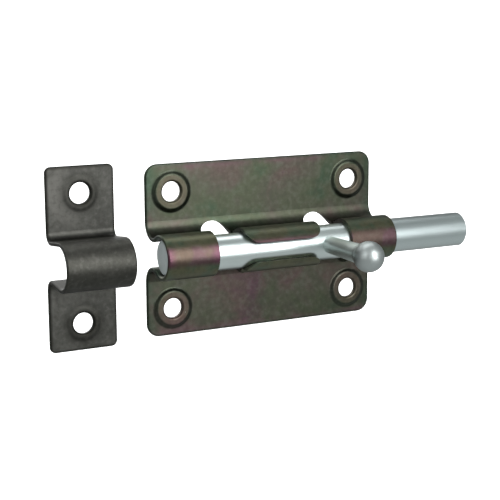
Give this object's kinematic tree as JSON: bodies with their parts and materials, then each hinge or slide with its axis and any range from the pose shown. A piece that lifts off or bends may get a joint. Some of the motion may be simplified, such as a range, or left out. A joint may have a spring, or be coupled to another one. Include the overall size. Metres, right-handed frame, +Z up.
{
  "type": "barrel bolt latch",
  "caption": "Surface-mounted barrel bolt with a round bar, a turning ball handle that locks in either window, and a separate strap keeper.",
  "frame": {"origin": "middle of the mounting plate's back face, level with the bolt's axis", "axes": "+X along the bolt, away from the keeper; +Y into the door, so the back faces lie on Y = 0; +Z up"},
  "size_m": [0.1263, 0.0396, 0.0506],
  "materials": {
    "iridescent_passivated_steel": "dark iridescent passivated zinc, satin",
    "black_passivated_steel": "black passivated zinc, satin",
    "bright_zinc_bar": "bright zinc on drawn bar",
    "satin_zinc_handle": "bright zinc on turned steel"
  },
  "bodies": {
    "latch_base": {"mounting_plate": "iridescent_passivated_steel", "keeper": "black_passivated_steel"},
    "bolt_slider": {"bolt_nose": "bright_zinc_bar"},
    "bolt": {"bolt_bar": "bright_zinc_bar", "bolt_handle": "satin_zinc_handle"}
  },
  "joints": [
    {"name": "bolt_slide", "type": "slide", "parent": "latch_base", "child": "bolt_slider", "axis": [-1, 0, 0], "range_m": [0, 0.0328]},
    {"name": "bolt_turn", "type": "hinge", "parent": "bolt_slider", "child": "bolt", "pos_m": [0, -0.0104, 0], "axis": [1, 0, 0], "range_deg": [-94, 94]}
  ]
}
